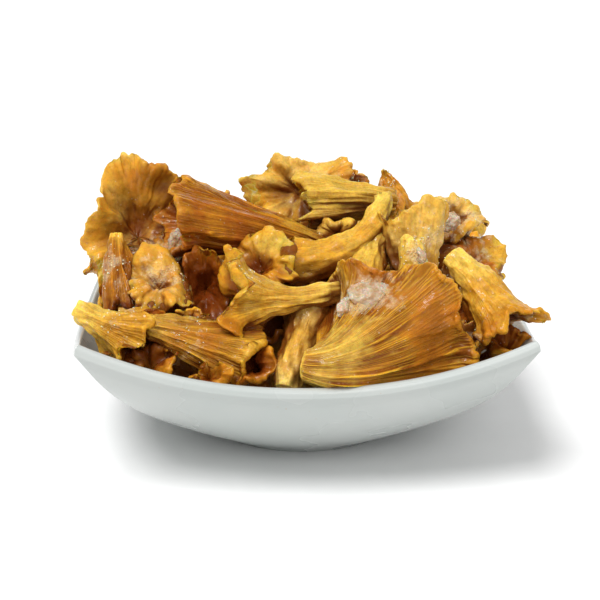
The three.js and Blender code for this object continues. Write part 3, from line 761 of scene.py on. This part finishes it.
def frosty_spots(pieces, count, chance):
    """Points on the frosted parts of the skins, with the way that the skin faces there."""
    spots, facing = [], []
    for piece in pieces:
        frost = np.empty(len(piece.data.vertices))
        piece.data.attributes["frost"].data.foreach_get("value", frost)
        zone = np.empty(len(frost))
        piece.data.attributes["zone"].data.foreach_get("value", zone)
        places, normals = skin_points(piece)
        weight = np.where(zone < GRAINS_END_AT, np.clip(frost - LEAST_FROST, 0, 1), 0)
        wanted = min(int(count * np.mean(frost)), np.count_nonzero(weight))
        if wanted == 0:
            continue
        picked = chance.choice(len(weight), wanted, replace=False, p=weight / weight.sum())
        slide = chance.normal(0, GRAIN_SLIDE, (wanted, 3))
        slide -= normals[picked] * (slide * normals[picked]).sum(1, keepdims=True)
        spots.append(places[picked] + slide)
        facing.append(normals[picked])
    return np.concatenate(spots), np.concatenate(facing)


def frost_grains(pieces, material):
    """The grains of ice on the frosted parts, half sunk in the skins, as one piece."""
    chance = np.random.default_rng(GRAIN_SEED)
    corners, faces = unit_grain()
    spots, facing = frosty_spots(pieces, GRAINS_A_PIECE, chance)
    sizes = chance.uniform(*GRAIN_RADII, (len(spots), 1, 1)) * chance.uniform(0.6, 1.3, (len(spots), 1, 3))
    shaken = corners[None] * chance.uniform(0.75, 1.15, (len(spots), len(corners), 1))
    points = spots[:, None] + facing[:, None] * sizes.mean() * GRAIN_RISE + shaken * sizes
    indices = faces[None] + (np.arange(len(spots)) * len(corners))[:, None, None]
    mesh = bpy.data.meshes.new("frost_grains")
    mesh.from_pydata((points.reshape(-1, 3) * MM).tolist(), [], indices.reshape(-1, 3).tolist())
    mesh.materials.append(material)
    mesh.update()
    grains = bpy.data.objects.new("frost_grains", mesh)
    bpy.context.scene.collection.objects.link(grains)
    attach(grains, "root")


# Shared shading effects

# The scales of the patterns, in cells per metre
SPECKS_PER_METRE = 640.0
FROST_GRAINS_PER_METRE = 1100.0
FROST_CLOUDS_PER_METRE = 260.0
BLOTCHES_PER_METRE = 70.0
MOTTLES_PER_METRE = 210.0
PORES_PER_METRE = 900.0

# The painted shade on the flesh where the heap is crowded and little light comes in
CROWD_SHADE_COLOUR = (0.15, 0.024, 0.002, 1)


class Nodes:
    """Adds nodes to one tree and links them by name."""

    def __init__(self, tree):
        self.tree = tree

    def add(self, kind, values=None, **settings):
        node = self.tree.nodes.new(kind)
        for key, value in settings.items():
            setattr(node, key, value)
        for key, value in (values or {}).items():
            if isinstance(value, bpy.types.NodeSocket):
                self.tree.links.new(value, node.inputs[key])
            else:
                node.inputs[key].default_value = value
        return node

    def attribute(self, name):
        return self.add("ShaderNodeAttribute", attribute_name=name)

    def math(self, operation, a, b=0.0):
        return self.add("ShaderNodeMath", {0: a, 1: b}, operation=operation).outputs[0]

    def span(self, value, low, high, out_low=0.0, out_high=1.0):
        """The value moved from the range low to high to the second range, and held inside it."""
        node = self.add("ShaderNodeMapRange", {0: value, 1: low, 2: high, 3: out_low, 4: out_high})
        return node.outputs[0]

    def mix(self, factor, a, b, blend="MIX"):
        """Two colours mixed. A mix node's sockets 6 and 7 take colours, and its output 2 gives one."""
        values = {0: factor, 6: a, 7: b}
        return self.add("ShaderNodeMix", values, data_type="RGBA", blend_type=blend).outputs[2]

    def stretched(self, vector, scales):
        return self.add("ShaderNodeVectorMath", {0: vector, 1: scales}, operation="MULTIPLY").outputs[0]

    def cells(self, vector, scale):
        """The outputs of a pattern of round cells."""
        return self.add("ShaderNodeTexVoronoi", {"Vector": vector, "Scale": scale}).outputs

    def noise(self, vector, scale, detail=3.0, roughness=0.55):
        values = {"Vector": vector, "Scale": scale, "Detail": detail, "Roughness": roughness}
        return self.add("ShaderNodeTexNoise", values).outputs[0]


def new_group(name, inputs, outputs):
    """An empty node group with named sockets, as its node helper, its inputs and its output node."""
    tree = bpy.data.node_groups.new(name, "ShaderNodeTree")
    for key, (kind, value) in inputs.items():
        socket = tree.interface.new_socket(key, in_out="INPUT", socket_type="NodeSocket" + kind)
        if value is not None:
            socket.default_value = value
    for key, kind in outputs.items():
        tree.interface.new_socket(key, in_out="OUTPUT", socket_type="NodeSocket" + kind)
    nodes = Nodes(tree)
    return nodes, nodes.add("NodeGroupInput").outputs, nodes.add("NodeGroupOutput")


def frost_group():
    """Where frost covers the surface, how high it stands, and the lone specks of frost painted bright as
    glints, most of them near it.
    """
    nodes, given, out = new_group(
        "frost_cover",
        {"Amount": ("Float", 0.0), "Vector": ("Vector", None), "Grain": ("Float", FROST_GRAINS_PER_METRE)},
        {"Mask": "Float", "Height": "Float", "Speck_glints": "Float"},
    )
    patch = nodes.noise(given["Vector"], FROST_CLOUDS_PER_METRE, 3.0)
    grain = nodes.cells(given["Vector"], given["Grain"])["Distance"]
    broken = nodes.math("ADD", given["Amount"], nodes.span(patch, 0.3, 0.7, -0.42, 0.32))
    mask = nodes.span(broken, 0.32, 0.75)
    lone = nodes.cells(given["Vector"], SPECKS_PER_METRE)
    kept = nodes.span(nodes.add("ShaderNodeSeparateColor", {0: lone["Color"]}).outputs[0], 0.6, 0.64)
    round_speck_glints = nodes.math("MULTIPLY", nodes.span(lone["Distance"], 0.26, 0.12), kept)
    near_frost = nodes.span(given["Amount"], 0.0, 0.25, 0.3, 1.0)
    patchy = nodes.math("MULTIPLY", nodes.span(patch, 0.48, 0.62), near_frost)
    speck_glints = nodes.math("MULTIPLY", round_speck_glints, patchy)
    covered = nodes.math("MULTIPLY", mask, nodes.span(grain, 0.0, 0.7, 1.0, 0.0))
    nodes.tree.links.new(mask, out.inputs["Mask"])
    nodes.tree.links.new(speck_glints, out.inputs["Speck_glints"])
    nodes.tree.links.new(nodes.math("MAXIMUM", covered, speck_glints), out.inputs["Height"])
    return nodes.tree


def gill_group():
    """Fine gills from the stem to the margin that fork on the way, from 0 in the gaps to 1 on the edges."""
    inputs = {"Flow": ("Vector", None), "Zone": ("Float", 0.5)}
    inputs.update({"Count": ("Float", 24.0), "Strength": ("Float", 1.0)})
    nodes, given, out = new_group("fine_gills", inputs, {"Height": "Float", "Fade": "Float"})
    parts = nodes.add("ShaderNodeSeparateXYZ", {0: given["Flow"]}).outputs
    angle = nodes.math("ARCTAN2", parts[1], parts[0])
    stretch = nodes.stretched(given["Flow"], (1.6, 1.6, 0.16))
    sway = nodes.span(nodes.noise(stretch, 1.0, 2.0), 0.3, 0.7, -0.12, 0.12)
    wriggle = nodes.span(nodes.noise(stretch, 8.0, 1.0), 0.3, 0.7, -0.018, 0.018)
    bent = nodes.math("ADD", nodes.math("ADD", angle, sway), wriggle)
    turns = nodes.math("MULTIPLY", nodes.math("MULTIPLY", bent, given["Count"]), 0.5)

    def crest(of):
        wave = nodes.math("ABSOLUTE", nodes.math("SINE", of))
        return nodes.math("SUBTRACT", 1.0, nodes.math("POWER", wave, 0.8))

    uneven = nodes.span(nodes.noise(stretch, 4.0, 1.0), 0.3, 0.7, -0.2, 0.2)
    forked = nodes.span(nodes.math("ADD", given["Zone"], uneven), 0.42, 0.62)
    single, double = crest(turns), crest(nodes.math("MULTIPLY", turns, 2.0))
    second = nodes.math("MULTIPLY", forked, nodes.math("SUBTRACT", double, single))
    height = nodes.math("ADD", single, second)
    patchy = nodes.span(nodes.noise(stretch, 2.2, 2.0), 0.35, 0.6, 0.35, 1.0)
    grown = nodes.math("MULTIPLY", nodes.span(given["Zone"], 0.12, 0.36, 0.1, 1.0), given["Strength"])
    fade = nodes.math("MULTIPLY", patchy, grown)
    outside = nodes.span(given["Zone"], 0.99, 1.02, 1.0, 0.0)
    nodes.tree.links.new(height, out.inputs["Height"])
    nodes.tree.links.new(nodes.math("MULTIPLY", fade, outside), out.inputs["Fade"])
    return nodes.tree


def flesh_group():
    """A mushroom's colour from its zone, gills, blotches and painted shade, its height in relief, and where
    it is wet.
    """
    colours = ("Stem", "Gill", "Valley_shade_and_stain", "Margin", "Inside", "Throat", "Blotch")
    inputs = {key: ("Color", (0.5, 0.3, 0.05, 1)) for key in colours}
    inputs.update({"Rib": ("Float", 0.5), "Zone": ("Float", 0.5), "Tint": ("Float", 0.5)})
    inputs.update({"Gill_gap_shade": ("Float", 0.0), "Crowd_shade": ("Float", 0.0), "Stain": ("Float", 0.0)})
    inputs.update({"Ribbed": ("Float", 0.5), "Flow": ("Vector", None), "Vector": ("Vector", None)})
    nodes, given, out = new_group("flesh", inputs, {"Color": "Color", "Height": "Float", "Wet": "Float"})
    zone, rib = given["Zone"], given["Rib"]
    streak = nodes.noise(nodes.stretched(given["Flow"], (15.0, 15.0, 1.1)), 0.6, 3.0, 0.5)
    blotch = nodes.noise(given["Vector"], BLOTCHES_PER_METRE, 4.0, 0.6)
    mottle = nodes.noise(given["Vector"], MOTTLES_PER_METRE, 4.0, 0.65)
    fine = nodes.noise(given["Vector"], PORES_PER_METRE, 3.0, 0.6)
    outer = nodes.mix(nodes.span(zone, 0.02, 0.45), given["Stem"], given["Gill"])
    outer = nodes.mix(nodes.span(zone, 0.78, 1.0), outer, given["Margin"])
    past_stem = nodes.span(zone, 0.05, 0.4, 0.25, 1.0)
    # Painted shade: the rib valleys and the gaps between the fine gills are mixed toward the dark valley
    # colour
    valley_shade = nodes.math("MULTIPLY", nodes.span(rib, 0.75, 0.05), past_stem)
    outer = nodes.mix(nodes.math("MULTIPLY", valley_shade, 0.5), outer, given["Valley_shade_and_stain"])
    outer = nodes.mix(nodes.math("MULTIPLY", given["Gill_gap_shade"], 0.9), outer, given["Valley_shade_and_stain"])
    inside = nodes.mix(nodes.span(zone, 1.15, 1.85), given["Inside"], given["Throat"])
    inside = nodes.mix(nodes.span(mottle, 0.42, 0.62, 0.0, 0.45), inside, given["Blotch"])
    skin = nodes.mix(nodes.span(zone, 1.02, 1.10), outer, inside)
    placed = nodes.math("ADD", blotch, nodes.math("MULTIPLY", given["Stain"], 0.26))
    stained = nodes.math("ADD", placed, nodes.span(given["Tint"], 0.0, 1.0, -0.05, 0.05))
    skin = nodes.mix(nodes.span(stained, 0.52, 0.68, 0.0, 0.8), skin, given["Blotch"])
    # The deepest stains take the same dark colour as the painted shade in the valleys
    skin = nodes.mix(nodes.span(stained, 0.68, 0.85, 0.0, 0.6), skin, given["Valley_shade_and_stain"])
    skin = nodes.mix(nodes.span(stained, 0.46, 0.28, 0.0, 0.6), skin, given["Stem"])
    outside = nodes.span(zone, 1.0, 1.1, 0.6, 0.1)
    streaky = nodes.math("MULTIPLY", outside, nodes.span(given["Ribbed"], 0, 1, 0.3, 1))
    streaks = nodes.math("MULTIPLY", streak, streaky)
    mottles = nodes.math("MULTIPLY", mottle, nodes.math("SUBTRACT", 1.0, streaky))
    lit = nodes.span(nodes.math("ADD", streaks, mottles), 0.35, 0.65, 0.76, 1.28)
    skin = nodes.mix(nodes.span(fine, 0.52, 0.36, 0.0, 0.32), skin, given["Blotch"])
    shade = nodes.add("ShaderNodeCombineColor", {0: lit, 1: lit, 2: lit}).outputs[0]
    skin = nodes.mix(1.0, skin, shade, "MULTIPLY")
    # Painted shade where the heap is crowded in front of the skin and little light comes in
    skin = nodes.mix(nodes.span(given["Crowd_shade"], 0.14, 0.33, 0.0, 0.88), skin, CROWD_SHADE_COLOUR)
    nodes.tree.links.new(skin, out.inputs["Color"])
    relief = nodes.math("ADD", nodes.math("MULTIPLY", mottle, 0.8), nodes.math("MULTIPLY", fine, 0.3))
    nodes.tree.links.new(relief, out.inputs["Height"])
    nodes.tree.links.new(nodes.span(fine, 0.35, 0.65), out.inputs["Wet"])
    return nodes.tree


# Materials


def new_material(name):
    """An empty material with its node helper and its shader."""
    material = bpy.data.materials.new(name)
    material.use_nodes = True
    shader = material.node_tree.nodes["Principled BSDF"]
    return material, Nodes(material.node_tree), shader


def use_group(nodes, tree, values):
    """The outputs of a node group that is placed with these values."""
    return nodes.add("ShaderNodeGroup", values, node_tree=tree).outputs


# The valley colour is painted shade in the gill valleys and gaps, and also the colour of the deepest stains
FLESH_TONES = {
    "golden": {
        "Stem": (0.84, 0.59, 0.10, 1),
        "Gill": (0.80, 0.42, 0.03, 1),
        "Valley_shade_and_stain": (0.23, 0.0615, 0.0022, 1),
        "Margin": (0.79, 0.41, 0.025, 1),
        "Inside": (0.77, 0.41, 0.028, 1),
        "Throat": (0.30, 0.0738, 0.0028, 1),
        "Blotch": (0.46, 0.15, 0.006, 1),
    },
    "tan": {
        "Stem": (0.83, 0.58, 0.14, 1),
        "Gill": (0.78, 0.44, 0.05, 1),
        "Valley_shade_and_stain": (0.25, 0.0779, 0.0044, 1),
        "Margin": (0.81, 0.476, 0.055, 1),
        "Inside": (0.78, 0.42, 0.04, 1),
        "Throat": (0.36, 0.11, 0.006, 1),
        "Blotch": (0.47, 0.17, 0.009, 1),
    },
    "amber": {
        "Stem": (0.81, 0.492, 0.055, 1),
        "Gill": (0.68, 0.28, 0.012, 1),
        "Valley_shade_and_stain": (0.18, 0.0369, 0.0017, 1),
        "Margin": (0.74, 0.361, 0.022, 1),
        "Inside": (0.60, 0.23, 0.0099, 1),
        "Throat": (0.19, 0.0394, 0.0017, 1),
        "Blotch": (0.36, 0.095, 0.005, 1),
    },
}
FROST_COLOUR = (0.88, 0.72, 0.46, 1)
# Pale specks of frost, painted brighter as glints of light
SPECK_GLINT_COLOUR = (0.97, 0.88, 0.66, 1)

# The darker and the lighter colour of the clear ice, of the grains of frost, of the glaze and of the floor
ICE_TINTS = ((0.72, 0.48, 0.25, 1), (0.94, 0.84, 0.68, 1))
RIME_TINTS = ((0.92, 0.72, 0.42, 1), (1.0, 0.93, 0.78, 1))
GLAZE_WHITES = ((0.455, 0.49, 0.47, 1), (0.495, 0.52, 0.50, 1))
FLOOR_WHITES = ((0.92, 0.92, 0.92, 1), (0.94, 0.94, 0.94, 1))
GLAZE_SPECK_COLOUR = (0.45, 0.33, 0.22, 1)
ICE_CLEARNESS = 0.45
ICE_REFRACTION = 1.31


def flesh_material(tone, flesh, frost, gills):
    """Moist mushroom flesh with forked gills, stains, patches of frost, painted shade in its creases and
    painted glints.
    """
    material, nodes, shader = new_material(tone)
    place = nodes.add("ShaderNodeTexCoord").outputs["Object"]
    read = ("Rib", "Zone", "Tint", "Crowd_shade", "Stain")
    values = {key: nodes.attribute(key.lower()).outputs["Fac"] for key in read}
    values.update({"Flow": nodes.attribute("flow").outputs["Vector"], "Vector": place}, **FLESH_TONES[tone])
    count = nodes.attribute("gills").outputs["Fac"]
    ribbed = nodes.attribute("ribbed").outputs["Fac"]
    strength = nodes.math("MULTIPLY", ribbed, nodes.span(values["Stain"], 0.3, 1.2, 1.0, 0.4))
    along = {"Flow": values["Flow"], "Zone": values["Zone"], "Count": count, "Strength": strength}
    fine_gills = use_group(nodes, gills, along)
    # Painted shade in the gaps between the fine gills
    gill_gap_shade = nodes.math("MULTIPLY", nodes.span(fine_gills["Height"], 0.62, 0.15), fine_gills["Fade"])
    skin = use_group(nodes, flesh, {**values, "Gill_gap_shade": gill_gap_shade, "Ribbed": ribbed})
    amount = nodes.attribute("frost").outputs["Fac"]
    cover = use_group(nodes, frost, {"Amount": amount, "Vector": place})
    colour = nodes.mix(nodes.math("MULTIPLY", cover["Mask"], 0.48), skin["Color"], FROST_COLOUR)
    # Lone frost specks painted pale and bright as glints; they also raise the coat and the relief
    colour = nodes.mix(nodes.math("MULTIPLY", cover["Speck_glints"], 0.6), colour, SPECK_GLINT_COLOUR)
    links = nodes.tree.links
    links.new(colour, shader.inputs["Base Color"])
    dry = nodes.math("MULTIPLY", cover["Mask"], 0.22)
    links.new(nodes.math("ADD", nodes.span(skin["Wet"], 0, 1, 0.30, 0.46), dry), shader.inputs["Roughness"])
    wet = nodes.math("MAXIMUM", nodes.span(skin["Wet"], 0, 0.6, 0.5, 0.02), cover["Speck_glints"])
    links.new(wet, shader.inputs["Coat Weight"])
    shader.inputs["Coat Roughness"].default_value = 0.12
    shader.inputs["Specular IOR Level"].default_value = 0.14
    shader.inputs["Subsurface Weight"].default_value = 0.45
    shader.inputs["Subsurface Radius"].default_value = (1.0, 0.5, 0.1)
    shader.inputs["Subsurface Scale"].default_value = 0.004
    ridge = nodes.math("MULTIPLY", fine_gills["Height"], fine_gills["Fade"])
    raised = nodes.add("ShaderNodeBump", {"Strength": 0.8, "Distance": 0.0006, "Height": ridge})
    relief = {"Strength": 0.7, "Distance": 0.0008, "Height": skin["Height"], "Normal": raised.outputs[0]}
    fine = nodes.add("ShaderNodeBump", relief)
    grains = {"Strength": 0.8, "Distance": 0.0008, "Height": cover["Height"], "Normal": fine.outputs[0]}
    links.new(nodes.add("ShaderNodeBump", grains).outputs[0], shader.inputs["Normal"])
    return material


def ice_material(name, tints, clearness):
    """Cloudy granular ice, tinted by the flesh under it."""
    material, nodes, shader = new_material(name)
    place = nodes.add("ShaderNodeTexCoord").outputs["Object"]
    cloud = nodes.noise(place, 300.0, 4.0)
    grain = nodes.cells(place, FROST_GRAINS_PER_METRE)["Distance"]
    links = nodes.tree.links
    links.new(nodes.mix(nodes.span(cloud, 0.38, 0.62), *tints), shader.inputs["Base Color"])
    links.new(nodes.span(cloud, 0.3, 0.7, 0.12, 0.35), shader.inputs["Roughness"])
    shader.inputs["Transmission Weight"].default_value = clearness
    shader.inputs["Subsurface Weight"].default_value = 0.5
    shader.inputs["Subsurface Scale"].default_value = 0.002
    shader.inputs["IOR"].default_value = ICE_REFRACTION
    bump = nodes.add("ShaderNodeBump", {"Strength": 0.5, "Distance": 0.0004, "Height": grain})
    links.new(bump.outputs[0], shader.inputs["Normal"])
    return material


def glaze_material():
    """White glazed porcelain, slightly cool, with the faint waves and specks of a glaze."""
    material, nodes, shader = new_material("porcelain")
    place = nodes.add("ShaderNodeTexCoord").outputs["Object"]
    cloud = nodes.noise(place, 22.0, 3.0)
    speck = nodes.noise(place, 700.0, 1.0)
    links = nodes.tree.links
    white = nodes.mix(nodes.span(cloud, 0.35, 0.65), *GLAZE_WHITES)
    white = nodes.mix(nodes.span(speck, 0.76, 0.80, 0.0, 0.5), white, GLAZE_SPECK_COLOUR)
    links.new(white, shader.inputs["Base Color"])
    links.new(nodes.span(cloud, 0.3, 0.7, 0.22, 0.32), shader.inputs["Roughness"])
    shader.inputs["Coat Weight"].default_value = 0.35
    shader.inputs["Coat Roughness"].default_value = 0.12
    waves = nodes.noise(place, 60.0, 1.0)
    bump = nodes.add("ShaderNodeBump", {"Strength": 0.06, "Distance": 0.001, "Height": waves})
    links.new(bump.outputs[0], shader.inputs["Normal"])
    return material


def floor_material():
    """Pale studio paper with a faint grain."""
    material, nodes, shader = new_material("floor_paper")
    place = nodes.add("ShaderNodeTexCoord").outputs["Object"]
    grain = nodes.noise(place, 40.0, 2.0)
    pale = nodes.mix(nodes.span(grain, 0.3, 0.7), *FLOOR_WHITES)
    nodes.tree.links.new(pale, shader.inputs["Base Color"])
    shader.inputs["Roughness"].default_value = 0.9
    return material


# Stage

FLOOR_SIZE = 12
WORLD_STRENGTH = 0.36

# Each light's name, the way it comes from, its strength, and how wide it is in degrees
LIGHTS = (
    ("overhead", (-0.35, -0.4, 1.0), 2.65, 28),
    ("front_fill", (0.3, -1.0, 0.7), 0.65, 30),
    ("rear_fill", (0.25, 1.0, 0.6), 0.55, 40),
)


def build_stage():
    """The pale floor, the white surroundings and the soft lights."""
    bpy.ops.mesh.primitive_plane_add(size=FLOOR_SIZE)
    floor = bpy.context.object
    floor.name = "floor"
    floor.data.materials.append(floor_material())

    world = bpy.data.worlds.new("studio")
    world.use_nodes = True
    world.node_tree.nodes["Background"].inputs["Color"].default_value = (1, 1, 1, 1)
    world.node_tree.nodes["Background"].inputs["Strength"].default_value = WORLD_STRENGTH
    bpy.context.scene.world = world
    for name, heading, strength, spread in LIGHTS:
        light = bpy.data.lights.new(name, "SUN")
        light.energy, light.angle = strength, math.radians(spread)
        lamp = bpy.data.objects.new(name, light)
        lamp.location = heading
        lamp.rotation_euler = Vector(heading).to_track_quat("Z", "Y").to_euler()
        bpy.context.scene.collection.objects.link(lamp)


def build_camera():
    """The camera at the photo's viewing angle."""
    turn, rise = math.radians(CAMERA_AZIMUTH), math.radians(CAMERA_ELEVATION)
    back = Vector((math.sin(turn) * math.cos(rise), -math.cos(turn) * math.cos(rise), math.sin(rise)))
    lens = bpy.data.cameras.new("camera")
    lens.lens, lens.sensor_width = CAMERA_LENS, SENSOR_WIDTH
    lens.shift_x = CAMERA_SHIFT
    lens.clip_start, lens.clip_end = 0.05, 50
    camera = bpy.data.objects.new("camera", lens)
    camera.location = Vector((0, 0, CAMERA_AIM_HEIGHT * MM)) + back * CAMERA_DISTANCE * MM
    camera.rotation_euler = back.to_track_quat("Z", "Y").to_euler()
    bpy.context.scene.collection.objects.link(camera)
    bpy.context.scene.camera = camera


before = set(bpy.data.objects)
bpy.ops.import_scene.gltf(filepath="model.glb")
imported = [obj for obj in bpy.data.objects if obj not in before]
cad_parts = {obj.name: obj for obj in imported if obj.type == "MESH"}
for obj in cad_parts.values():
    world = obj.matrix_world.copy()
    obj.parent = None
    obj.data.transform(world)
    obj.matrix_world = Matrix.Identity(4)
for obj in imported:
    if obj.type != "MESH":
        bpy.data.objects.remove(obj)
bpy.ops.object.select_all(action="DESELECT")
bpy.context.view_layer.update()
bpy.context.scene.view_settings.view_transform = "Standard"
flesh, frost, gills = flesh_group(), frost_group(), gill_group()
flesh_materials = {tone: flesh_material(tone, flesh, frost, gills) for tone in FLESH_TONES}
bowl_piece(glaze_material())
skins = [mushroom_piece(row, index + 1, flesh_materials) for index, row in enumerate(MUSHROOMS)]
mark_crowding(skins)
ice = ice_material("ice", ICE_TINTS, ICE_CLEARNESS)
rime = ice_material("rime", RIME_TINTS, 0.0)
for name, shape in ICE_LUMPS.items():
    ice_lump(name, *shape, ice)
frost_grains(skins, rime)
build_stage()
build_camera()
